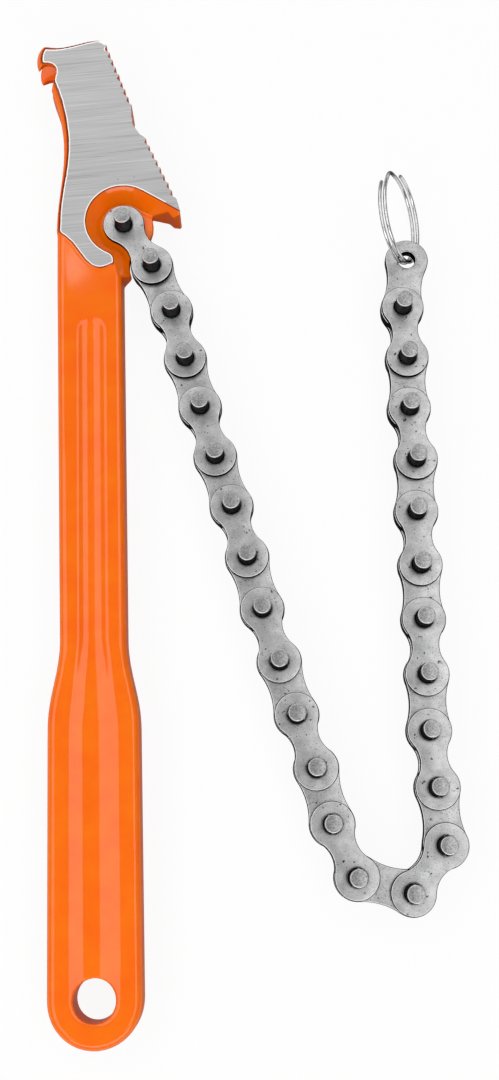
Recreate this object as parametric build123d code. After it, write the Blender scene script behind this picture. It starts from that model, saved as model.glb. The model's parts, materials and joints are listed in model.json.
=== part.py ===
from build123d import *
from math import cos, radians, sin, sqrt
import os

# Chain wrench lying flat, front face up, in millimetres.
# The origin is the middle of the hanging hole. +Y runs along the handle to the head, +X to the jaws.

# Chain: plates of five-eighths pitch, side by side with no rollers, and pins that stand out of both sides
pitch = 15.875
pin_diameter = 5.0
pin_reach = 6.3
pin_chamfer = 0.45
plate_thickness = 1.5
outer_end_diameter = 12.6
outer_waist = 7.7
inner_end_diameter = 13.0
inner_waist = 10.4
side_clearance = 0.12
running_clearance = 0.08

# Heading of each link from its first pin to its next, in degrees from +X, as the chain lies
link_headings = [-58, -69, -76, -75, -75, -74, -75, -76, -74, -74, -72, -76, -67, -17, 52, 95,
                 95, 89, 90, 90, 91, 87, 94, 89, 92, 82]

# Handle
grip_width = 25.9
grip_length = 73.0
flare_length = 25.0
shank_width = 19.0
shank_length = 107.0
neck_width = 19.7
neck_offset = 0.4
body_thickness = 11.0
body_edge_radius = 2.2
hang_hole_diameter = 11.5

# Long hollow in both faces of the handle
hollow_width = 8.1
hollow_grip_width = 13.6
hollow_depth = 1.3
hollow_end_gap = 14.0

# Head: height of its hook side above the neck, and reach of jaws and hook from the handle's middle line
head_height = 82.1
jaw_reach = 27.4
jaw_nose_height = 5.625
hook_reach = 17.0
head_thickness = 12.0
head_edge_radius = 2.8
anchor_across = 9.9
anchor_height = 20.8

# Two rows of sharp teeth, given by the first tip and the way the row runs
tooth_count = 9
tooth_pitch = 2.75
tooth_depth = 1.2
tooth_valley_share = 0.38
upper_row_across = 5.6
upper_row_height = 80.2
upper_row_heading = -70.0
crown_run = 2.6
crown_rise = 1.9
lower_row_across = 17.5
lower_row_height = 47.8
lower_row_heading = -66.5

# Pocket round the first link: gap to the link at the bottom, lean of its wall, slope on the jaw's side
pocket_gap = 0.7
pocket_lean = 4.5
pocket_heading = -32.0
pocket_mouth = 45.0

# Free edge of the web that carries the first pin, and the lip where the second link comes to rest
web_gap = 0.4
web_heading = 19.6
lip_heading = 202.8
lip_edge = 0.42

# Hook: seat of a caught pin inside the hook's reach and below its top, and the slot between the two cheeks
seat_inset = 3.9
seat_drop = 10.3
seat_clearance = 0.4
seat_heading = -110.0
slot_clearance = 0.38
slot_gap = 0.6
slot_heading = 50.0
slot_mouth_heading = -160.0
slot_run = 30.0

# Split ring: two turns of round wire through the eye of the last link, leaning up from it
ring_radius = 13.65
ring_wire = 1.1
ring_turn_gap = 0.46
ring_ramp_turn = 60.0
ring_wire_sides = 8
ring_centre_across = -1.8
ring_centre_ahead = 12.8
ring_centre_up = 3.9
ring_facing = 178.7
ring_tilt = -27.4

overrun = 1.0

# Worked out from the sizes above
pin_radius = pin_diameter / 2
stack_half = 2 * plate_thickness + side_clearance
pin_length = 2 * (stack_half + pin_reach)
web_half = plate_thickness
body_half = body_thickness / 2
head_half = head_thickness / 2
neck = grip_length + flare_length + shank_length
anchor = Vector(anchor_across, neck + anchor_height)
seat = Vector(seat_inset - hook_reach, neck + head_height - seat_drop)


def along(start, heading, length):
    """Point at a length from start in the heading's direction."""
    return start + Vector(cos(radians(heading)), sin(radians(heading))) * length


def chain_points():
    """Centres of all pins and, last, of the end link's eye."""
    points = [anchor]
    for heading in link_headings:
        points.append(along(points[-1], heading, pitch))
    return points


# Chain plates

def plate_outline(end_diameter, waist):
    """Figure-of-eight outline from the first pin at the origin to the next along +X."""
    end_radius, half_waist, half_pitch = end_diameter / 2, waist / 2, pitch / 2
    waist_radius = (half_pitch ** 2 + half_waist ** 2 - end_radius ** 2) / (2 * (end_radius - half_waist))
    waist_centre = half_waist + waist_radius
    share = end_radius / (end_radius + waist_radius)
    touch = Vector(half_pitch * share, waist_centre * share)
    far = Vector(pitch - touch.X, touch.Y)
    with BuildSketch() as outline:
        with BuildLine():
            ThreePointArc(touch, (-end_radius, 0), (touch.X, -touch.Y))
            ThreePointArc((touch.X, -touch.Y), (half_pitch, -half_waist), (far.X, -far.Y))
            ThreePointArc((far.X, -far.Y), (pitch + end_radius, 0), far)
            ThreePointArc(far, (half_pitch, half_waist), touch)
        make_face()
    return outline.sketch


def plate(end_diameter, waist, bores):
    """Flat plate standing on the XY plane with a bore at each end."""
    body = extrude(plate_outline(end_diameter, waist), plate_thickness)
    for place, bore_radius in zip((0, pitch), bores):
        body -= Pos(place, 0) * Cylinder(bore_radius, 2 * plate_thickness + overrun)
    return body


def pin():
    """Straight pin across the whole stack with a bevel round each end."""
    body = Cylinder(pin_radius, pin_length)
    return chamfer(body.edges().filter_by(GeomType.CIRCLE), pin_chamfer)


def laid(solid, start, heading, height=0):
    """A solid modelled on the first pin, turned to the link's heading and set in the chain."""
    return Pos(start.X, start.Y, height) * Rot(0, 0, heading) * solid


def outer_link(number, start, heading):
    """Front plate, back plate and the two pins pressed into them."""
    bores = (pin_radius, pin_radius)
    one = plate(outer_end_diameter, outer_waist, bores)
    front = laid(one, start, heading, stack_half - plate_thickness)
    back = laid(one, start, heading, -stack_half)
    pins = [laid(pin(), start, heading), laid(Pos(pitch, 0) * pin(), start, heading)]
    return {
        f"link_{number:02d}_front_plate": [front],
        f"link_{number:02d}_back_plate": [back],
        f"link_{number:02d}_pins": pins,
    }


def inner_link(number, start, heading):
    """Pair of plates side by side that turn on the pins of their neighbours."""
    bore = pin_radius + running_clearance
    one = plate(inner_end_diameter, inner_waist, (bore, bore))
    pair = [laid(one, start, heading, 0), laid(one, start, heading, -plate_thickness)]
    return {f"link_{number:02d}_inner_plates": pair}


# Handle

def body_blank():
    """Grip, flare, shank and neck with rounded edges, up to the middle of the head."""
    grip, shank, root = grip_width / 2, shank_width / 2, neck_width / 2
    flare_end = grip_length + flare_length
    top = neck + anchor_height
    with BuildSketch() as outline:
        with BuildLine():
            ThreePointArc((-grip, 0), (0, -grip), (grip, 0))
            Line((grip, 0), (grip, grip_length))
            Spline((grip, grip_length), (shank, flare_end), tangents=[(0, 1), (0, 1)])
            Polyline((shank, flare_end), (root - neck_offset, neck), (root - neck_offset, top))
            Line((root - neck_offset, top), (-root - neck_offset, top))
            Polyline((-root - neck_offset, top), (-root - neck_offset, neck), (-shank, flare_end))
            Spline((-shank, flare_end), (-grip, grip_length), tangents=[(0, -1), (0, -1)])
            Line((-grip, grip_length), (-grip, 0))
        make_face()
    blank = extrude(outline.sketch, body_half, both=True)
    rim = blank.edges().group_by(Axis.Z)[-1] + blank.edges().group_by(Axis.Z)[0]
    return fillet(rim.filter_by(lambda edge: edge.center().Y < top), body_edge_radius)


def tooth_row(across, height, heading):
    """Points of one row of teeth, from its first tip to its last."""
    first = Vector(across, neck + height)
    points = [first]
    for number in range(1, tooth_count):
        tip = along(first, heading, number * tooth_pitch)
        valley = along(tip, heading, (tooth_valley_share - 1) * tooth_pitch)
        points += [along(valley, heading - 90, tooth_depth), tip]
    return points


# Places on the head as shares of its reach to that side and of its height above the neck
left_side_shares = [(0.565, 0.33), (0.476, 0.53), (0.57, 0.70), (0.745, 0.815)]
hook_tip_share = (0.965, 0.898)
hook_back_share = (0.965, 0.958)
hook_top_share = (0.78, 0.987)
left_round_shares = [(0.66, 0.05), (0.665, 0.20), (0.635, 0.33), (0.509, 0.53), (0.576, 0.70), (0.794, 0.845)]
hook_round_shares = [(0.906, 0.871), (0.965, 0.958), (0.78, 1.013)]
top_round_shares = [(0.95, 1.0037), (0.53, 0.9936), (0.18, 1.009), (-0.176, 1.0256)]
top_shares = [(0.53, 0.9765), (0.18, 0.990)]
lobe_shares = [(0.24, 0.085), (0.05, 0.074), (0.29, 0.165), (0.603, 0.212)]

# Shares of the crown's run and rise, of the way from row to row, and of the jaw nose's reach and height
crown_share = (0.47, 0.525)
relief_shares = [(-0.025, 0.245), (0.069, 0.5955), (0.507, 0.8545)]
jaw_nose_shares = [(1.0, 0.751), (0.985, 0.941), (0.92, 1.0), (0.86, 0.678)]


def on_hook_side(share):
    """Point on the hook's side of the head."""
    return Vector(-share[0] * hook_reach, neck + share[1] * head_height)


def on_jaw_side(share):
    """Point on the jaws' side of the head."""
    return Vector(share[0] * jaw_reach, neck + share[1] * head_height)


def web_edge(jaw_root):
    """Free edge of the web: round the anchor pin and the second link's end, down to the lip's foot."""
    reach = pitch - inner_end_diameter / 2 - web_gap
    clear = inner_end_diameter / 2 + web_gap
    start = along(anchor, web_heading, reach)
    second = along(anchor, link_headings[0], pitch)
    meet = along(anchor, link_headings[0], reach)
    lip = along(second, lip_heading, clear)
    edge = Vector(lip.X, lip.Y - lip_edge)
    neck_side = neck_width / 2 - neck_offset
    foot = Vector(neck_side, edge.Y - (edge.X - neck_side) / 2)
    halfway = ((meet - second).normalized() + (lip - second).normalized()).normalized()
    Line(jaw_root, start)
    ThreePointArc(start, along(anchor, (web_heading + link_headings[0]) / 2, reach), meet)
    ThreePointArc(meet, second + halfway * clear, lip)
    Polyline(lip, edge, foot)
    return foot


def crown(first):
    """Highest point of the head and the bevel from it to the first tooth."""
    top = Vector(first.X - crown_run, first.Y + crown_rise)
    bevel = Vector(first.X - crown_run * crown_share[0], first.Y + crown_rise * crown_share[1])
    return [top, bevel, first]


def relief(start, end):
    """Points of the edge between the two rows of teeth."""
    run = end - start
    return [start, *[start + Vector(run.X * across, run.Y * down) for across, down in relief_shares], end]


def jaw_nose(last):
    """Points from the last tooth round the jaw's nose to its root."""
    places = [(jaw_reach * across, jaw_nose_height * down) for across, down in jaw_nose_shares]
    return [last, *[Vector(across, last.Y - down) for across, down in places]]


def head_outline():
    """Outline of the head with both rows of teeth."""
    left = [on_hook_side(share) for share in left_side_shares]
    tip, back = on_hook_side(hook_tip_share), on_hook_side(hook_back_share)
    top = on_hook_side(hook_top_share)
    upper = tooth_row(upper_row_across, upper_row_height, upper_row_heading)
    lower = tooth_row(lower_row_across, lower_row_height, lower_row_heading)
    highest, *bevel = crown(upper[0])
    nose = jaw_nose(lower[-1])
    lobe = [on_jaw_side(share) for share in lobe_shares[:2]]
    lobe += [on_hook_side(share) for share in lobe_shares[2:]]
    with BuildSketch() as outline:
        with BuildLine():
            Spline(lobe[-1], *left, tangents=[(0, 1), (left[-1] - left[-2])])
            Line(left[-1], tip)
            ThreePointArc(tip, back, top)
            Spline(top, *[on_hook_side(share) for share in top_shares], highest)
            Polyline(highest, *bevel)
            Polyline(*upper)
            Polyline(*relief(upper[-1], lower[0]))
            Polyline(*lower)
            Polyline(*nose)
            foot = web_edge(nose[-1])
            Line(foot, lobe[0])
            Spline(*lobe)
        make_face()
    return outline.sketch


def head_blank():
    """Full-thickness head with its left and top edges rounded and the hook's seat and slot cut."""
    blank = extrude(head_outline(), head_half, both=True)
    paths = [
        Spline(*[on_hook_side(share) for share in left_round_shares]),
        ThreePointArc(*[on_hook_side(share) for share in hook_round_shares]),
        Spline(*[on_hook_side(share) for share in top_round_shares]),
    ]
    for path in paths:
        rounding = edge_rounding(path)
        blank -= rounding
        blank -= mirror(rounding, about=Plane.XY)
    for cutter in hook_cuts():
        blank -= cutter
    return blank


def edge_rounding(path):
    """Cutter that rounds the head's front edge along a path, the less the farther out the path lies."""
    start, way = path @ 0, path % 0
    across = way.cross(Vector(0, 0, -1))
    section_plane = Plane(origin=(start.X, start.Y, head_half), x_dir=across, z_dir=way)
    radius, reach = head_edge_radius, head_edge_radius + overrun
    middle = radius * (sqrt(0.5) - 1)
    with BuildSketch(section_plane) as section:
        with BuildLine():
            ThreePointArc((-radius, 0), (middle, middle), (0, -radius))
            Polyline((0, -radius), (reach, -radius), (reach, overrun), (-radius, overrun), (-radius, 0))
        make_face()
    return sweep(section.sketch, path=Pos(0, 0, head_half) * path)


def pocket_level(spread, jaw_side):
    """Outline of the pocket at one depth, with the given gap round the link."""
    if not jaw_side:
        outline = plate_outline(outer_end_diameter + 2 * spread, outer_waist + 2 * spread)
        return Pos(anchor.X, anchor.Y) * Rot(0, 0, link_headings[0]) * outline
    radius = outer_end_diameter / 2 + spread
    touch = along(anchor, pocket_heading + 90, radius)
    far = along(touch, pocket_heading, pocket_mouth)
    with BuildSketch() as outline:
        with BuildLine():
            Polyline(anchor, touch, far, along(anchor, link_headings[0], pocket_mouth), close=True)
        make_face()
    return outline.sketch


def pocket():
    """Recess of the front face, with walls that lean out round the link and along the jaw."""
    rise = head_half + overrun - web_half
    spread = pocket_gap + pocket_lean * rise / (head_half - web_half)
    cutters = []
    for jaw_side in (False, True):
        floor = Pos(0, 0, web_half) * pocket_level(pocket_gap, jaw_side)
        mouth = Pos(0, 0, web_half + rise) * pocket_level(spread, jaw_side)
        cutters.append(loft([floor, mouth], ruled=True))
    return cutters


def band(start, heading, length, half_width):
    """Flat strip with one round end, from start in the heading's direction."""
    strip = Rot(0, 0, heading) * Pos(length / 2, 0) * Rectangle(length, 2 * half_width)
    return Pos(start.X, start.Y) * (strip + Circle(half_width))


def hook_cuts():
    """Seat of the caught pin through both cheeks, and the slot between them."""
    seat_plan = band(seat, seat_heading, slot_run, pin_radius + seat_clearance)
    reach = inner_end_diameter / 2 + slot_gap
    slot_plan = band(seat, slot_heading, slot_run, reach) + band(seat, slot_mouth_heading, slot_run, reach)
    return [
        extrude(seat_plan, head_thickness, both=True),
        extrude(slot_plan, stack_half + slot_clearance, both=True),
    ]


def hollow_section(width, place):
    """Circle segment of the hollow's width and depth, open above the front face, across the handle."""
    half, edge = width / 2, body_half + overrun
    radius = (half ** 2 + hollow_depth ** 2) / (2 * hollow_depth)
    rim = sqrt(radius ** 2 - (radius - hollow_depth - overrun) ** 2)
    with BuildSketch(Plane.XZ.offset(-place)) as section:
        with BuildLine():
            ThreePointArc((-rim, edge), (0, body_half - hollow_depth), (rim, edge))
            Line((rim, edge), (-rim, edge))
        make_face()
    return section.sketch


def hollow():
    """Long hollow of the front face: round at the head end, wider along the grip, ending at the hole."""
    flare_end, end = grip_length + flare_length, neck - hollow_end_gap
    sections = [hollow_section(hollow_grip_width, 0), hollow_section(hollow_grip_width, grip_length)]
    sections += [hollow_section(hollow_width, flare_end), hollow_section(hollow_width, end)]
    runs = [loft([near, far], ruled=True) for near, far in zip(sections, sections[1:])]
    ends = []
    for width, place in ((hollow_grip_width, 0), (hollow_width, end)):
        half = width / 2
        radius = (half ** 2 + hollow_depth ** 2) / (2 * hollow_depth)
        ball = Pos(0, place, body_half - hollow_depth + radius) * Sphere(radius)
        ends.append(ball)
    return runs + ends


def handle():
    """Forged handle and head in one piece."""
    solid = body_blank() + head_blank()
    front = pocket() + hollow()
    for cutter in front:
        solid -= cutter
        solid -= mirror(cutter, about=Plane.XY)
    solid -= Cylinder(hang_hole_diameter / 2, body_thickness + overrun)
    solid -= Pos(anchor.X, anchor.Y) * Cylinder(pin_radius + running_clearance, head_thickness + overrun)
    return solid


# Split ring

def biarc(start, start_way, end, end_way):
    """Two arcs that leave start and reach end in the given ways."""
    gap, ways = end - start, start_way + end_way
    turn = 2 * (1 - start_way.dot(end_way))
    reach = (-gap.dot(ways) + sqrt(gap.dot(ways) ** 2 + turn * gap.dot(gap))) / turn
    middle = (start + end + (start_way - end_way) * reach) / 2
    first = TangentArc(start, middle, tangent=start_way)
    return [first, TangentArc(middle, end, tangent=first % 1)]


def ring_point(turned, offset):
    """Point of the wire's middle line at an angle round the ring and an offset along its axis."""
    return Vector(ring_radius * cos(radians(turned)), ring_radius * sin(radians(turned)), offset)


def ring_path():
    """A flat turn, a ramp to the other side and a second flat turn."""
    offset = (ring_wire + ring_turn_gap) / 2
    flat = 360 - ring_ramp_turn
    pieces = []
    for first, level in ((0, -offset), (360, offset)):
        half = first + flat / 2
        for near, far in ((first, half), (half, first + flat)):
            middle = ring_point((near + far) / 2, level)
            pieces.append(ThreePointArc(ring_point(near, level), middle, ring_point(far, level)))
        if level < 0:
            start, end = ring_point(flat, level), ring_point(360, offset)
            start_way, end_way = ring_point(flat + 90, 0), ring_point(90, 0)
            pieces += biarc(start, start_way.normalized(), end, end_way.normalized())
    return pieces


def least_ring_gap(count=480):
    """Least clear distance from the wire to its own next turn, measured on points along its middle line."""
    wire = Wire(ring_path())
    points = [wire @ (number / count) for number in range(count + 1)]
    half_turn = count // 4
    apart = []
    for number, near in enumerate(points):
        apart += [(far - near).length for far in points[number + half_turn:]]
    return min(apart) - ring_wire


def split_ring():
    """Ring of two turns, set through the eye of the last link."""
    wire = Wire(ring_path())
    section = Plane(origin=wire @ 0, z_dir=wire % 0) * RegularPolygon(ring_wire / 2, ring_wire_sides)
    ring = sweep(section, path=wire)
    eye = chain_points()[-1]
    centre = Vector(eye.X + ring_centre_across, eye.Y + ring_centre_ahead, ring_centre_up)
    level = Vector(cos(radians(ring_facing)), sin(radians(ring_facing)))
    facing = level * cos(radians(ring_tilt)) + Vector(0, 0, sin(radians(ring_tilt)))
    return Plane(origin=centre, x_dir=facing.cross(Vector(0, 0, 1)), z_dir=facing) * ring


def build():
    """Every node's name with its list of solids."""
    nodes = {"forged_handle": [handle()]}
    points = chain_points()
    for number, (start, heading) in enumerate(zip(points, link_headings), start=1):
        make = outer_link if number % 2 else inner_link
        nodes.update(make(number, start, heading))
    nodes["split_ring"] = [split_ring()]
    return nodes


os.makedirs("parts", exist_ok=True)
for name, solids in build().items():
    shape = solids[0] if len(solids) == 1 else Compound(children=list(solids))
    export_step(shape, f"parts/{name}.step")
print("least gap between the ring's turns", round(least_ring_gap(), 2))
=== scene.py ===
import json
import math

import bmesh
import bpy
from mathutils import Matrix, Vector
from mathutils.kdtree import KDTree

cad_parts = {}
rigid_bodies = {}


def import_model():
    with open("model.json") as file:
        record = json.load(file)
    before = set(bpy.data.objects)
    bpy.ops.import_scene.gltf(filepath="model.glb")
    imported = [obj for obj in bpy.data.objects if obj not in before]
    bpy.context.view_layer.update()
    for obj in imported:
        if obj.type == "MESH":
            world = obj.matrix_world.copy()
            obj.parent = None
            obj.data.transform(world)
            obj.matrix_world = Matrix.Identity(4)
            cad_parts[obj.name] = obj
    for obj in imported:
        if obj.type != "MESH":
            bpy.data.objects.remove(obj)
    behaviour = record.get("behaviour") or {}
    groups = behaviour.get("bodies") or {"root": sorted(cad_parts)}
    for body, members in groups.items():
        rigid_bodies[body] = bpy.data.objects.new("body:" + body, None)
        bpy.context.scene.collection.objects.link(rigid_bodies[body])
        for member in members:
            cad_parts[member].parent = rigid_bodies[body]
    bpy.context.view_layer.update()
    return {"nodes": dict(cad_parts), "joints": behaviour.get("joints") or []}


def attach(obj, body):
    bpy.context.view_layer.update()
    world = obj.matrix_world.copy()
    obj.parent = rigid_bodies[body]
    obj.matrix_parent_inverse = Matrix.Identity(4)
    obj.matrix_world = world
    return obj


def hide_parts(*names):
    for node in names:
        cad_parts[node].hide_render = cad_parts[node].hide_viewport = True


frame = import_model()

# Everything is in metres in the wrench's own frame; sizes are named in millimetres and turned by MM, angles in degrees.
MM = 0.001

# Camera of the photograph, from its view of the chain's pins
CAMERA_PLACE = (44.17, 39.59, 384.42)
CAMERA_TURN = (12.710, 0.215, -1.753)
LENS = 45.0
SENSOR = 36.0
NEAREST_SEEN = 10.0

# Chain
PITCH = 15.875
PLATE = 1.5
PLATE_EDGE = 0.35
PLATE_EDGE_STEPS = 4
PLATE_END_STEPS = 26
SOOT_REACH = 0.9
OUTER_END, OUTER_WAIST = 12.6, 7.7
INNER_END, INNER_WAIST = 13.0, 10.4
STACK_HALF = 3.12
PIN = 5.0
PIN_HALF = 9.42
PIN_EDGE = 0.3
PIN_EDGE_STEPS = 3
PIN_OXIDE_FADE = 0.05
BORE = 5.16
ROUND_STEPS = 40
SHARP_ANGLE = 40.0

# Split ring
RING_RADIUS = 13.65
RING_WIRE = 1.1
RING_TURN_GAP = 0.46
RING_RAMP = 60.0
RING_CENTRE = (-1.8, 12.8, 3.9)
RING_FACING = 178.7
RING_TILT = -27.4
RING_STEPS = 192
WIRE_ROUNDNESS = 5

# Forged handle
VOXEL = 0.3
SOFT_PASSES = 9
HOLLOW_PASSES = 30
HOLLOW_RUN = (8.0, 204.0)
HOLLOW_FLOOR = 3.6
HOLLOW_HALF = 8.2
CRISP_PASSES = 2
CRISP_REACH = 2.6
CRISP_FADE = 0.8
GROUND_LEVEL = 5.9
HANDLE_SHARE = 0.34
RIM = 0.3
TEETH_FROM = 5.0
DARK_BAND_DEPTH = 0.35
SAME_POINT = 1e-3
ON_CUT = 1e-4

# The head's edges that the grinding leaves crisp: its top, crown, both rows of teeth, the relief between and the nose
CRISP_LINE = [(-13.3, 286.4), (-9.0, 285.0), (3.0, 287.1), (5.6, 285.2), (13.1, 264.6), (13.1, 261.3), (13.4, 259.5),
              (15.4, 254.6), (17.5, 252.8), (26.3, 232.6), (27.4, 228.5), (25.2, 227.0), (23.6, 228.7)]
CRISP_FROM = min(y for x, y in CRISP_LINE) - CRISP_REACH

# Patterns of the finishes, by the size of their grains. Orange peel, clouds, pits, spots and stains have a real size.
# Grinding lines and the grain of tumbled and oxidised steel are finer than 0.1 mm on the tool, and are drawn as coarse
# as they need to be to show.
PEEL = 0.5
PAINT_WAVE = 7.0
GRINDING_TURN = -4.0
GRINDING_LINE, LINE_STRETCH = 0.35, 70
GRINDING_BAND, BAND_STRETCH = 2.4, 14
FORGING_PIT = 1.1
PLATE_CLOUD = 3.5
TUMBLED_GRAIN = 0.35
PLATE_SPOT = 1.3
SOOT_STAIN = 0.9
OXIDE_GRAIN = 0.5
NICKEL_CLOUD = 2.0

# Studio. Each lamp has its place, its level width and its height in metres, and its watts. The hollow and the edges of
# the grip mirror the side boxes as long stripes, and the neck mirrors the small lamp.
FLOOR_GAP = 0.02
FLOOR_HALF = 3000.0
FLOOR_WASH = 0.92
WORLD_LIGHT = 0.22
LAMPS_AIM = (40, 140, 0)
LAMPS = [
    ("left_box", (-424, 120, 678), (1.0, 0.46), 2.5),
    ("right_box", (330, 120, 730), (1.0, 0.34), 2.0),
    ("front_box", (40, -560, 480), (1.0, 0.3), 2.6),
    ("head_box", (-60, 900, 800), (0.8, 0.6), 2.0),
    ("neck_lamp", (-111, 577, 820), (0.016, 0.012), 0.006)]


# Small helpers

def linear(code):
    """Linear colour of an sRGB hex value such as "#FF7000"."""
    parts = [int(code[place:place + 2], 16) / 255 for place in (1, 3, 5)]
    return (*[part / 12.92 if part <= 0.04045 else ((part + 0.055) / 1.055) ** 2.4 for part in parts], 1.0)


def add(tree, kind, settings=None, inputs=None, stops=()):
    """A node with its settings, its inputs given as values or as the sockets that feed them, and the stops of a colour
    ramp as places and sRGB colours."""
    node = tree.nodes.new(kind)
    for name, value in (settings or {}).items():
        setattr(node, name, value)
    for key, value in (inputs or {}).items():
        if isinstance(value, bpy.types.NodeSocket):
            tree.links.new(value, node.inputs[key])
        else:
            node.inputs[key].default_value = value
    if stops:
        elements = node.color_ramp.elements
        while len(elements) < len(stops):
            elements.new(0.5)
        for element, (place, code) in zip(elements, stops):
            element.position, element.color = place, linear(code)
    return node


def new_material(name):
    """An empty material and its tree."""
    material = bpy.data.materials.new(name)
    material.use_nodes = True
    material.node_tree.nodes.clear()
    return material, material.node_tree


def millimetres(tree):
    """The Object coordinates in millimetres."""
    place = add(tree, "ShaderNodeTexCoord").outputs["Object"]
    return add(tree, "ShaderNodeVectorMath", {"operation": "SCALE"}, {0: place, "Scale": 1 / MM}).outputs[0]


def thickwise(tree, vector):
    """How far a vector goes through the tool's thickness, either way."""
    part = add(tree, "ShaderNodeSeparateXYZ", inputs={0: vector}).outputs["Z"]
    return add(tree, "ShaderNodeMath", {"operation": "ABSOLUTE"}, {0: part}).outputs[0]


def flatness(tree):
    """1 where the surface lies flat and 0 on upright walls, from the object's own normal."""
    return thickwise(tree, add(tree, "ShaderNodeTexCoord").outputs["Normal"])


def grains(tree, place, size, detail, stretch=1):
    """Light and dark grains of about the given size in millimetres, drawn out along X by the stretch."""
    scale = (1 / (size * stretch), 1 / size, 1 / size)
    place = add(tree, "ShaderNodeMapping", inputs={"Vector": place, "Scale": scale}).outputs[0]
    return add(tree, "ShaderNodeTexNoise", inputs={"Vector": place, "Scale": 1.0, "Detail": detail}).outputs["Fac"]


def soiled_and_shaded(tree, colour, layers):
    """A colour darkened by one layer of dirt, wear or painted shade after the other."""
    for layer in layers:
        colour = add(tree, "ShaderNodeMix", {"data_type": "RGBA", "blend_type": "MULTIPLY"},
                     {0: 1.0, 6: colour, 7: layer}).outputs[2]
    return colour


def object_of(mesh, name):
    """A new object for a mesh, curve, lamp or camera, at the origin."""
    piece = bpy.data.objects.new(name, mesh)
    bpy.context.scene.collection.objects.link(piece)
    return piece


# Materials

def orange_enamel():
    """Sprayed gloss enamel on a forging: deep orange, with painted shade that darkens it on upright walls and a brown
    band just below the ground level, with faint orange peel in its gloss."""
    material, tree = new_material("orange_enamel")
    place, flat = millimetres(tree), flatness(tree)
    tone = add(tree, "ShaderNodeValToRGB", inputs={"Fac": grains(tree, place, PAINT_WAVE, 2.0)},
               stops=[(0.3, "#FF6A00"), (0.7, "#FF7500")]).outputs["Color"]
    # Painted shade: upright walls get a darker orange than flat faces, by the slope of the object's own normal.
    walls = add(tree, "ShaderNodeValToRGB", inputs={"Fac": flat},
                stops=[(0.0, "#D0C4BC"), (0.5, "#FFFFFF")]).outputs["Color"]
    # The paint is darkened to brown in a thin band just below the ground level.
    height = add(tree, "ShaderNodeMapRange", inputs={
        "Value": thickwise(tree, place), "From Min": GROUND_LEVEL - DARK_BAND_DEPTH, "From Max": GROUND_LEVEL}).outputs[0]
    dark_band = add(tree, "ShaderNodeValToRGB", inputs={"Fac": height},
                stops=[(0.0, "#FFFFFF"), (0.6, "#A07060"), (1.0, "#5E3A2C")]).outputs["Color"]
    coat = add(tree, "ShaderNodeMapRange", inputs={
        "Value": flat, "From Min": 0.2, "From Max": 0.7, "To Min": 0.04, "To Max": 0.85}).outputs[0]
    bump = add(tree, "ShaderNodeBump", inputs={
        "Height": grains(tree, place, PEEL, 1.0), "Strength": 0.3, "Distance": 0.02 * MM}).outputs[0]
    shader = add(tree, "ShaderNodeBsdfPrincipled", inputs={
        "Base Color": soiled_and_shaded(tree, tone, (walls, dark_band)), "Roughness": 0.5, "Specular IOR Level": 0.03,
        "Coat Weight": coat, "Coat Roughness": 0.06, "Normal": bump, "Coat Normal": bump}).outputs[0]
    add(tree, "ShaderNodeOutputMaterial", inputs={"Surface": shader})
    return material


def ground_steel():
    """Surface-ground forged steel: fine grinding lines nearly across the head, a few dark pits and a painted highlight
    along its rim."""
    material, tree = new_material("ground_steel")
    place = millimetres(tree)
    turned = add(tree, "ShaderNodeMapping", inputs={
        "Vector": place, "Rotation": (0, 0, math.radians(GRINDING_TURN))}).outputs[0]
    lines = grains(tree, turned, GRINDING_LINE, 1.0, LINE_STRETCH)
    bands = grains(tree, turned, GRINDING_BAND, 2.0, BAND_STRETCH)
    ground = add(tree, "ShaderNodeMix", {"data_type": "FLOAT"}, {0: 0.25, 2: lines, 3: bands}).outputs[0]
    tone = add(tree, "ShaderNodeValToRGB", inputs={"Fac": ground}, stops=[
        (0.3, "#989898"), (0.42, "#B1B1B2"), (0.6, "#B9B9BA"), (0.7, "#C9C9CA")]).outputs["Color"]
    pits = add(tree, "ShaderNodeValToRGB", inputs={"Fac": grains(tree, place, FORGING_PIT, 2.0)}, stops=[
        (0.0, "#FFFFFF"), (0.74, "#FFFFFF"), (0.8, "#8A8A8A")]).outputs["Color"]
    inset = add(tree, "ShaderNodeAttribute", {"attribute_name": "inset"}).outputs["Fac"]
    # Painted highlight: the steel turns near-white within a short reach of the ground face's edge.
    painted_rim_highlight = add(tree, "ShaderNodeMapRange", inputs={
        "Value": inset, "From Min": 0.6 * RIM, "From Max": 1.4 * RIM, "To Min": 1.0, "To Max": 0.0}).outputs[0]
    colour = add(tree, "ShaderNodeMix", {"data_type": "RGBA"},
                 {0: painted_rim_highlight, 6: soiled_and_shaded(tree, tone, [pits]), 7: linear("#FFFAF4")}).outputs[2]
    bump = add(tree, "ShaderNodeBump", inputs={"Height": lines, "Strength": 0.15, "Distance": 0.01 * MM}).outputs[0]
    shader = add(tree, "ShaderNodeBsdfPrincipled", inputs={
        "Base Color": colour, "Metallic": 1.0, "Roughness": 0.42, "Normal": bump}).outputs[0]
    add(tree, "ShaderNodeOutputMaterial", inputs={"Surface": shader})
    return material


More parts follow.
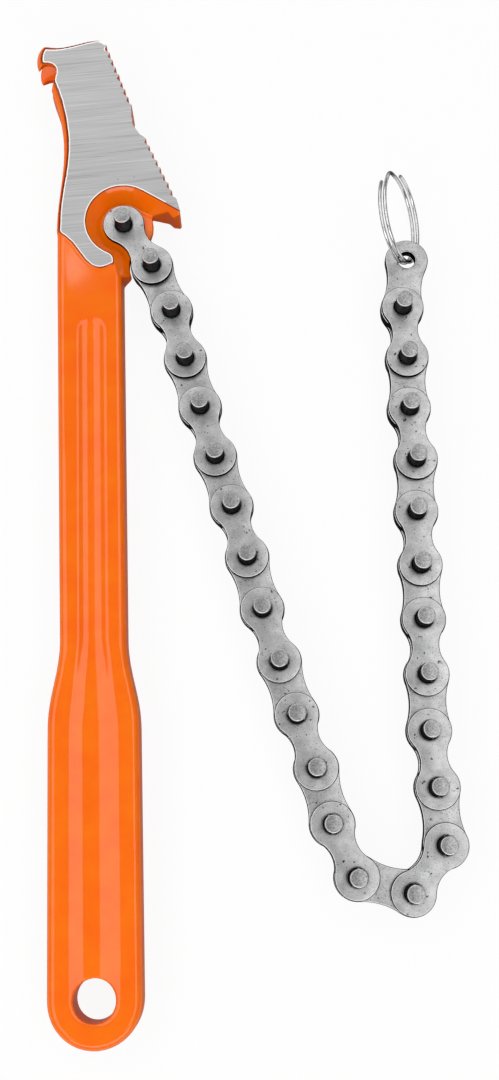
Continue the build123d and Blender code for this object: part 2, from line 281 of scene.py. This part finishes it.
def plate_steel():
    """Punched and tumbled chain plate: dull grey steel, cloudy, with fine dark specks, a painted highlight on its
    rounded corners, painted shade on its upright walls and soot round the pins. The edge tint keeps its grazing
    reflections dull."""
    material, tree = new_material("tumbled_plate_steel")
    place, flat = millimetres(tree), flatness(tree)
    grain = grains(tree, place, TUMBLED_GRAIN, 2.0)
    tone = add(tree, "ShaderNodeValToRGB", inputs={"Fac": grains(tree, place, PLATE_CLOUD, 4.0)}, stops=[
        (0.3, "#A9A9AA"), (0.5, "#BBBBBC"), (0.7, "#CCCCCD")]).outputs["Color"]
    specks = add(tree, "ShaderNodeValToRGB", inputs={"Fac": grain},
                 stops=[(0.3, "#7E7E7E"), (0.4, "#FFFFFF")]).outputs["Color"]
    spots = add(tree, "ShaderNodeValToRGB", inputs={"Fac": grains(tree, place, PLATE_SPOT, 1.0)},
                stops=[(0.24, "#6A6A6A"), (0.3, "#FFFFFF")]).outputs["Color"]
    # Painted shade: the upright walls of the plates are darkened almost to black.
    walls = add(tree, "ShaderNodeValToRGB", inputs={"Fac": flat},
                stops=[(0.0, "#2A2A2A"), (0.8, "#4A4A4A"), (0.88, "#FFFFFF")]).outputs["Color"]
    # Painted highlight: a near-white line on the plates' rounded corners, where they would catch the lamps.
    corners = add(tree, "ShaderNodeValToRGB", inputs={"Fac": flat}, stops=[
        (0.88, "#000000"), (0.93, "#FFFFFF"), (0.97, "#FFFFFF"), (0.99, "#000000")]).outputs["Color"]
    soot = add(tree, "ShaderNodeAttribute", {"attribute_name": "soot"}).outputs["Fac"]
    soot = add(tree, "ShaderNodeMath", {"operation": "MULTIPLY"},
               {0: soot, 1: grains(tree, place, SOOT_STAIN, 3.0)}).outputs[0]
    stain = add(tree, "ShaderNodeValToRGB", inputs={"Fac": soot},
                stops=[(0.3, "#FFFFFF"), (0.5, "#9C9C9C")]).outputs["Color"]
    colour = add(tree, "ShaderNodeMix", {"data_type": "RGBA"}, {
        0: corners, 6: soiled_and_shaded(tree, tone, (specks, spots, walls, stain)), 7: linear("#E6E6E6")}).outputs[2]
    bump = add(tree, "ShaderNodeBump", inputs={"Height": grain, "Strength": 0.25, "Distance": 0.03 * MM}).outputs[0]
    shader = add(tree, "ShaderNodeBsdfPrincipled", inputs={
        "Base Color": colour, "Metallic": 1.0, "Roughness": 0.4, "Specular Tint": linear("#808080"),
        "Normal": bump}).outputs[0]
    add(tree, "ShaderNodeOutputMaterial", inputs={"Surface": shader})
    return material


def pin_steel():
    """Hardened pin: dark oxide on its side, made darker still by painted shade, its sheared and tumbled ends brighter,
    and a painted highlight on their corners.
    """
    material, tree = new_material("hardened_pin_steel")
    place, flat = millimetres(tree), flatness(tree)
    end_from = PIN_HALF - PIN_EDGE
    end = add(tree, "ShaderNodeMapRange", inputs={
        "Value": thickwise(tree, place), "From Min": end_from - PIN_OXIDE_FADE, "From Max": end_from}).outputs[0]
    grain = grains(tree, place, OXIDE_GRAIN, 3.0)
    # The side is dark oxide, painted darker still as painted shade for the dark surroundings the sides would reflect.
    oxide_and_shade = add(tree, "ShaderNodeValToRGB", inputs={"Fac": grain},
                stops=[(0.3, "#343435"), (0.7, "#58585A")]).outputs["Color"]
    sheared = add(tree, "ShaderNodeValToRGB", inputs={"Fac": grain}, stops=[
        (0.3, "#7C7C7D"), (0.5, "#9C9C9D"), (0.7, "#BCBCBD")]).outputs["Color"]
    # Painted highlight: a near-white line on the rounded corners of the pin ends.
    painted_end_glint = add(tree, "ShaderNodeValToRGB", inputs={"Fac": flat},
               stops=[(0.9, "#FFFFFF"), (0.97, "#000000")]).outputs["Color"]
    ends = add(tree, "ShaderNodeMix", {"data_type": "RGBA"}, {0: painted_end_glint, 6: sheared, 7: linear("#E4E4E4")}).outputs[2]
    colour = add(tree, "ShaderNodeMix", {"data_type": "RGBA"}, {0: end, 6: oxide_and_shade, 7: ends}).outputs[2]
    bump = add(tree, "ShaderNodeBump", inputs={"Height": grain, "Strength": 0.25, "Distance": 0.04 * MM}).outputs[0]
    shader = add(tree, "ShaderNodeBsdfPrincipled", inputs={
        "Base Color": colour, "Metallic": 1.0, "Roughness": 0.38, "Specular Tint": linear("#909090"),
        "Normal": bump}).outputs[0]
    add(tree, "ShaderNodeOutputMaterial", inputs={"Surface": shader})
    return material


def nickel_wire():
    """Nickel-plated spring wire: bright and nearly mirror-like, with dark edges."""
    material, tree = new_material("nickel_plated_wire")
    tone = add(tree, "ShaderNodeValToRGB", inputs={"Fac": grains(tree, millimetres(tree), NICKEL_CLOUD, 2.0)},
               stops=[(0.3, "#D2D2D3"), (0.7, "#E6E6E6")]).outputs["Color"]
    shader = add(tree, "ShaderNodeBsdfPrincipled", inputs={
        "Base Color": tone, "Metallic": 1.0, "Roughness": 0.2, "Specular Tint": linear("#303030")}).outputs[0]
    add(tree, "ShaderNodeOutputMaterial", inputs={"Surface": shader})
    return material


def pale_floor():
    """Plain white studio table, mostly washed out to white as it is seen and as metal mirrors it."""
    material, tree = new_material("pale_table")
    table = add(tree, "ShaderNodeBsdfPrincipled", inputs={"Base Color": linear("#F4F4F4"), "Roughness": 0.9}).outputs[0]
    glow = add(tree, "ShaderNodeEmission", inputs={"Color": linear("#FFFFFF"), "Strength": 1.0}).outputs[0]
    rays = add(tree, "ShaderNodeLightPath").outputs
    seen = rays["Is Camera Ray"]
    for other in ("Is Glossy Ray", "Is Transmission Ray"):
        seen = add(tree, "ShaderNodeMath", {"operation": "MAXIMUM"}, {0: seen, 1: rays[other]}).outputs[0]
    share = add(tree, "ShaderNodeMath", {"operation": "MULTIPLY"}, {0: seen, 1: FLOOR_WASH}).outputs[0]
    washed = add(tree, "ShaderNodeMixShader", inputs={0: share, 1: table, 2: glow}).outputs[0]
    add(tree, "ShaderNodeOutputMaterial", inputs={"Surface": washed})
    return material


# Chain

def plate_outline(end_diameter, waist):
    """Points round a figure-of-eight plate, from the first pin at the origin to the next along +X."""
    end, half_waist, half_pitch = end_diameter / 2, waist / 2, PITCH / 2
    waist_radius = (half_pitch ** 2 + half_waist ** 2 - end ** 2) / (2 * (end - half_waist))
    centre = half_waist + waist_radius
    lean = math.atan2(half_pitch, centre)
    arcs = [
        ((0, 0), end, math.pi / 2 - lean, 3 * math.pi / 2 + lean),
        ((half_pitch, -centre), waist_radius, math.pi / 2 + lean, math.pi / 2 - lean),
        ((PITCH, 0), end, -math.pi / 2 - lean, math.pi / 2 + lean),
        ((half_pitch, centre), waist_radius, -math.pi / 2 + lean, -math.pi / 2 - lean)]
    points = []
    for (x, y), radius, first, last in arcs:
        steps = PLATE_END_STEPS if radius == end else PLATE_END_STEPS // 2
        for step in range(steps):
            angle = first + (last - first) * step / steps
            points.append(Vector((x + radius * math.cos(angle), y + radius * math.sin(angle))))
    return points


def outward(points):
    """Unit vectors across a closed run of points that goes anticlockwise."""
    ways = []
    for before, after in zip(points[-1:] + points[:-1], points[1:] + points[:1]):
        along = after - before
        ways.append(Vector((along.y, -along.x)).normalized())
    return ways


def edge_profile(height, edge, steps):
    """Distances in from the rim and heights, from the lower face up to the upper one, with rounded corners."""
    profile = []
    for step in range(steps + 1):
        angle = math.pi / 2 * step / steps
        profile.append((edge * (1 - math.sin(angle)), edge * (1 - math.cos(angle))))
    return profile + [(inset, height - rise) for inset, rise in reversed(profile)]


def wall(build, rim, profile):
    """Rings of vertices that follow a rim through a profile, and the faces between them."""
    ways = outward(rim)
    rings = []
    for inset, rise in profile:
        rings.append([build.verts.new((*(point - way * inset), rise)) for point, way in zip(rim, ways)])
    for low, high in zip(rings, rings[1:]):
        for number in range(len(rim)):
            after = (number + 1) % len(rim)
            build.faces.new((low[number], low[after], high[after], high[number]))
    return rings


def ring_edges(build, ring):
    """The edges round a ring of vertices, found or made."""
    return [build.edges.get((one, other)) or build.edges.new((one, other))
            for one, other in zip(ring, ring[1:] + ring[:1])]


def circle(centre, radius):
    """Points round a circle whose centre lies on the X axis."""
    turn = 2 * math.pi / ROUND_STEPS
    return [Vector((centre + radius * math.cos(turn * step), radius * math.sin(turn * step)))
            for step in range(ROUND_STEPS)]


def finished_mesh(build, name):
    """The mesh in metres, with its faces turned outwards and shaded smooth up to its sharp edges."""
    bmesh.ops.scale(build, vec=(MM, MM, MM), verts=build.verts)
    bmesh.ops.recalc_face_normals(build, faces=build.faces)
    mesh = bpy.data.meshes.new(name)
    build.to_mesh(mesh)
    build.free()
    mesh.shade_smooth()
    mesh.set_sharp_from_angle(angle=math.radians(SHARP_ANGLE))
    return mesh


def plate_mesh(name, end_diameter, waist):
    """Chain plate on the XY plane with rounded edges and a bore at each end, each bore marked for soot."""
    build = bmesh.new()
    soot = build.verts.layers.float.new("soot")
    profile = edge_profile(PLATE, PLATE_EDGE, PLATE_EDGE_STEPS)
    walls = [wall(build, plate_outline(end_diameter, waist), profile)]
    spread = [(SOOT_REACH, 0.0), *profile, (SOOT_REACH, PLATE)]
    for centre in (0, PITCH):
        walls.append(wall(build, circle(centre, BORE / 2), [(-inset, rise) for inset, rise in spread]))
        for ring in walls[-1][1:-1]:
            for vert in ring:
                vert[soot] = 1.0
    for level in (0, -1):
        edges = [edge for rings in walls for edge in ring_edges(build, rings[level])]
        bmesh.ops.triangle_fill(build, edges=edges, use_beauty=True)
    return finished_mesh(build, name)


def pin_mesh():
    """Chain pin through the whole stack, with a small round round each end."""
    build = bmesh.new()
    rings = wall(build, circle(0, PIN / 2), edge_profile(2 * PIN_HALF, PIN_EDGE, PIN_EDGE_STEPS))
    for ring in (rings[0], rings[-1]):
        build.faces.new(ring)
    bmesh.ops.translate(build, vec=(0, 0, -PIN_HALF), verts=build.verts)
    return finished_mesh(build, "chain_pin")


def laying_tree():
    """Geometry nodes that lay a row of one piece on a link, turn it to the link's heading and set it in the chain."""
    tree = bpy.data.node_groups.new("lay_on_link", "GeometryNodeTree")
    inputs = (("Piece", "NodeSocketObject"), ("Count", "NodeSocketInt"), ("First", "NodeSocketVector"),
              ("Step", "NodeSocketVector"), ("Heading", "NodeSocketFloat"), ("Pin Place", "NodeSocketVector"),
              ("Finish", "NodeSocketMaterial"))
    for name, kind in inputs:
        tree.interface.new_socket(name, in_out="INPUT", socket_type=kind)
    tree.interface.new_socket("Geometry", in_out="OUTPUT", socket_type="NodeSocketGeometry")
    given = add(tree, "NodeGroupInput").outputs
    row = add(tree, "GeometryNodeMeshLine", inputs={
        "Count": given["Count"], "Start Location": given["First"], "Offset": given["Step"]}).outputs[0]
    piece = add(tree, "GeometryNodeObjectInfo", inputs={"Object": given["Piece"]}).outputs["Geometry"]
    laid = add(tree, "GeometryNodeInstanceOnPoints", inputs={"Points": row, "Instance": piece}).outputs[0]
    turn = add(tree, "ShaderNodeCombineXYZ", inputs={"Z": given["Heading"]}).outputs[0]
    placed = add(tree, "GeometryNodeTransform", inputs={
        "Geometry": laid, "Rotation": turn, "Translation": given["Pin Place"]}).outputs[0]
    real = add(tree, "GeometryNodeRealizeInstances", inputs={"Geometry": placed}).outputs[0]
    coated = add(tree, "GeometryNodeSetMaterial", inputs={"Geometry": real, "Material": given["Finish"]}).outputs[0]
    add(tree, "NodeGroupOutput", inputs={"Geometry": coated})
    return tree


def lay(tree, name, values):
    """A plain mesh object made by the laying tree with these inputs."""
    piece = object_of(bpy.data.meshes.new(name), name)
    modifier = piece.modifiers.new("lay", "NODES")
    modifier.node_group = tree
    sockets = {item.name: item.identifier for item in tree.interface.items_tree if item.in_out == "INPUT"}
    for key, value in values.items():
        modifier[sockets[key]] = value
    graph = bpy.context.evaluated_depsgraph_get()
    mesh = bpy.data.meshes.new_from_object(piece.evaluated_get(graph), depsgraph=graph)
    piece.modifiers.clear()
    piece.data = mesh
    mesh.name = name
    return piece


def chain(steel, pins_finish):
    """Every link's plates and pins, each riding on its own body."""
    tree = laying_tree()
    outer = object_of(plate_mesh("outer_plate", OUTER_END, OUTER_WAIST), "outer_plate_blank")
    inner = object_of(plate_mesh("inner_plate", INNER_END, INNER_WAIST), "inner_plate_blank")
    pin = object_of(pin_mesh(), "pin_blank")
    along, down, still = (PITCH * MM, 0, 0), (0, 0, -PLATE * MM), (0, 0, 0)
    hinges = {joint["child"]: Vector(joint["pos_m"]) for joint in frame["joints"]}
    ends = {joint["parent"]: Vector(joint["pos_m"]) for joint in frame["joints"]}
    for body, start in hinges.items():
        if not body.startswith("link_"):
            continue
        number = body[-2:]
        run = ends[body] - start
        shared = {"Heading": math.atan2(run.y, run.x), "Pin Place": start}
        if f"{body}_pins" in frame["nodes"]:
            rows = [("front_plate", outer, 1, (0, 0, (STACK_HALF - PLATE) * MM), still, steel),
                    ("back_plate", outer, 1, (0, 0, -STACK_HALF * MM), still, steel),
                    ("pins", pin, 2, still, along, pins_finish)]
        else:
            rows = [("inner_plates", inner, 2, still, down, steel)]
        for part, blank, count, first, step, finish in rows:
            piece = lay(tree, f"{part}_{number}", {
                "Piece": blank, "Count": count, "First": first, "Step": step, "Finish": finish, **shared})
            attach(piece, body)
            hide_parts(f"{body}_{part}")
    for blank in (outer, inner, pin):
        bpy.data.objects.remove(blank)
    bpy.data.node_groups.remove(tree)


# Split ring

def ring_line():
    """Points of the wire's middle line: a flat turn, a ramp to the other side and a second flat turn."""
    offset = (RING_WIRE + RING_TURN_GAP) / 2
    points = []
    for step in range(RING_STEPS + 1):
        turned = (720 - RING_RAMP) * step / RING_STEPS
        climb = min(max((turned - (360 - RING_RAMP)) / RING_RAMP, 0), 1)
        level = offset * (2 * climb * climb * (3 - 2 * climb) - 1)
        angle = math.radians(turned)
        points.append(Vector((RING_RADIUS * math.cos(angle), RING_RADIUS * math.sin(angle), level)))
    return points


def split_ring(finish):
    """Round wire wound twice, through the eye of the last link."""
    eye = next(Vector(joint["pos_m"]) for joint in frame["joints"] if joint["child"] == "ring")
    facing, tilt = math.radians(RING_FACING), math.radians(RING_TILT)
    across = Vector((math.cos(facing) * math.cos(tilt), math.sin(facing) * math.cos(tilt), math.sin(tilt)))
    ahead = across.cross(Vector((0, 0, 1))).normalized()
    turn = Matrix((ahead, across.cross(ahead), across)).transposed().to_4x4()
    place = Matrix.Translation(eye + Vector(RING_CENTRE) * MM) @ turn
    curve = bpy.data.curves.new("split_ring", "CURVE")
    curve.dimensions = "3D"
    curve.bevel_depth = RING_WIRE / 2 * MM
    curve.bevel_resolution = WIRE_ROUNDNESS
    curve.use_fill_caps = True
    points = ring_line()
    spline = curve.splines.new("POLY")
    spline.points.add(len(points) - 1)
    for target, point in zip(spline.points, points):
        target.co = (*(place @ (point * MM)), 1)
    wire = object_of(curve, "ring_curve")
    graph = bpy.context.evaluated_depsgraph_get()
    mesh = bpy.data.meshes.new_from_object(wire.evaluated_get(graph), depsgraph=graph)
    bpy.data.objects.remove(wire)
    mesh.materials.clear()
    mesh.materials.append(finish)
    mesh.shade_smooth()
    ring = object_of(mesh, "wound_split_ring")
    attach(ring, "ring")
    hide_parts("split_ring")


# Handle

def applied(piece, kind, **settings):
    """Add a modifier to a piece and make its result the piece's mesh."""
    modifier = piece.modifiers.new(kind.lower(), kind)
    for name, value in settings.items():
        setattr(modifier, name, value)
    graph = bpy.context.evaluated_depsgraph_get()
    mesh = bpy.data.meshes.new_from_object(piece.evaluated_get(graph), depsgraph=graph)
    piece.modifiers.clear()
    old, piece.data = piece.data, mesh
    bpy.data.meshes.remove(old)


def crispness(x, y):
    """1 along the head's crisp edges and 0 away from them."""
    if y <= CRISP_FROM:
        return 0.0
    spot = Vector((x, y))
    best = 2 * CRISP_REACH
    for first, last in zip(CRISP_LINE, CRISP_LINE[1:]):
        first = Vector(first)
        along = Vector(last) - first
        share = min(max((spot - first).dot(along) / along.length_squared, 0), 1)
        best = min(best, (spot - first - along * share).length)
    return min(max((CRISP_REACH - best) / CRISP_FADE, 0), 1)


def soften(piece):
    """Round a forging's edges, all but the head's crisp ones, and even out its hollow."""
    build = bmesh.new()
    build.from_mesh(piece.data)
    bmesh.ops.remove_doubles(build, verts=build.verts, dist=SAME_POINT * MM)
    build.to_mesh(piece.data)
    build.free()
    applied(piece, "REMESH", mode="VOXEL", voxel_size=VOXEL * MM, adaptivity=0.0)
    soft, hollow = piece.vertex_groups.new(name="soft"), piece.vertex_groups.new(name="hollow")
    for vert in piece.data.vertices:
        x, y, z = vert.co / MM
        soft.add([vert.index], 1 - crispness(x, y) * (1 - CRISP_PASSES / SOFT_PASSES), "REPLACE")
        if HOLLOW_RUN[0] < y < HOLLOW_RUN[1] and abs(z) > HOLLOW_FLOOR and abs(x) < HOLLOW_HALF:
            hollow.add([vert.index], 1.0, "REPLACE")
    applied(piece, "SMOOTH", factor=0.5, iterations=SOFT_PASSES, vertex_group="soft")
    applied(piece, "SMOOTH", factor=0.5, iterations=HOLLOW_PASSES, vertex_group="hollow")
    applied(piece, "DECIMATE", ratio=HANDLE_SHARE)


def grind(build, side):
    """Cut the forging's face flat at the ground level on one side, with a crisp edge."""
    level = GROUND_LEVEL * MM
    geometry = build.verts[:] + build.edges[:] + build.faces[:]
    bmesh.ops.bisect_plane(
        build, geom=geometry, dist=ON_CUT * MM, plane_co=(0, 0, level * side), plane_no=(0, 0, side))
    for vert in build.verts:
        if vert.co.z * side > level:
            vert.co.z = level * side


def forged_handle(paint, steel):
    """The forging, softened all over, with its head ground flat on both faces."""
    source = frame["nodes"]["forged_handle"]
    piece = object_of(source.data.copy(), "painted_forging")
    soften(piece)
    build = bmesh.new()
    build.from_mesh(piece.data)
    inset = build.verts.layers.float.new("inset")
    for side in (1, -1):
        grind(build, side)
    flat = (GROUND_LEVEL - SAME_POINT) * MM
    piece.data.materials.clear()
    piece.data.materials.append(paint)
    piece.data.materials.append(steel)
    for face in build.faces:
        face.material_index = 1 if all(abs(vert.co.z) > flat for vert in face.verts) else 0
        face.smooth = True
    for edge in build.edges:
        edge.smooth = len({face.material_index for face in edge.link_faces}) < 2
    # Each point of a ground face knows how far it is from the edge, for the painted highlight along the rim, which the
    # teeth don't have
    rim = [vert.co for vert in build.verts if len({face.material_index for face in vert.link_faces}) == 2]
    nearest = KDTree(len(rim))
    for number, spot in enumerate(rim):
        nearest.insert(spot, number)
    nearest.balance()
    for vert in build.verts:
        if abs(vert.co.z) > flat:
            x, y = vert.co.x / MM, vert.co.y / MM
            at_teeth = x > TEETH_FROM and crispness(x, y) > 0
            vert[inset] = 2 * RIM if at_teeth else nearest.find(vert.co)[2] / MM
    build.to_mesh(piece.data)
    build.free()
    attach(piece, "handle")
    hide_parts("forged_handle")


# Studio

def studio():
    """White table, the lamps and an even white world."""
    mesh = bpy.data.meshes.new("table")
    half, level = FLOOR_HALF * MM, -(PIN_HALF + FLOOR_GAP) * MM
    corners = [(-half, -half, level), (half, -half, level), (half, half, level), (-half, half, level)]
    mesh.from_pydata(corners, [], [(0, 1, 2, 3)])
    floor = object_of(mesh, "table")
    floor.data.materials.append(pale_floor())
    for name, place, size, power in LAMPS:
        data = bpy.data.lights.new(name, "AREA")
        data.shape = "RECTANGLE"
        data.size, data.size_y = size
        data.energy = power
        lamp = object_of(data, name)
        lamp.location = Vector(place) * MM
        lamp.rotation_euler = (Vector(LAMPS_AIM) * MM - lamp.location).to_track_quat("-Z", "Y").to_euler()
    world = bpy.data.worlds.new("studio")
    bpy.context.scene.world = world
    world.use_nodes = True
    background = world.node_tree.nodes["Background"]
    background.inputs["Color"].default_value = linear("#FFFFFF")
    background.inputs["Strength"].default_value = WORLD_LIGHT


def camera():
    """The photograph's camera."""
    data = bpy.data.cameras.new("camera")
    data.lens, data.sensor_width = LENS, SENSOR
    data.clip_start = NEAREST_SEEN * MM
    view = object_of(data, "camera")
    view.location = Vector(CAMERA_PLACE) * MM
    view.rotation_euler = [math.radians(turn) for turn in CAMERA_TURN]
    bpy.context.scene.camera = view


chain(plate_steel(), pin_steel())
split_ring(nickel_wire())
forged_handle(orange_enamel(), ground_steel())
studio()
camera()
bpy.context.scene.view_settings.view_transform = "Standard"
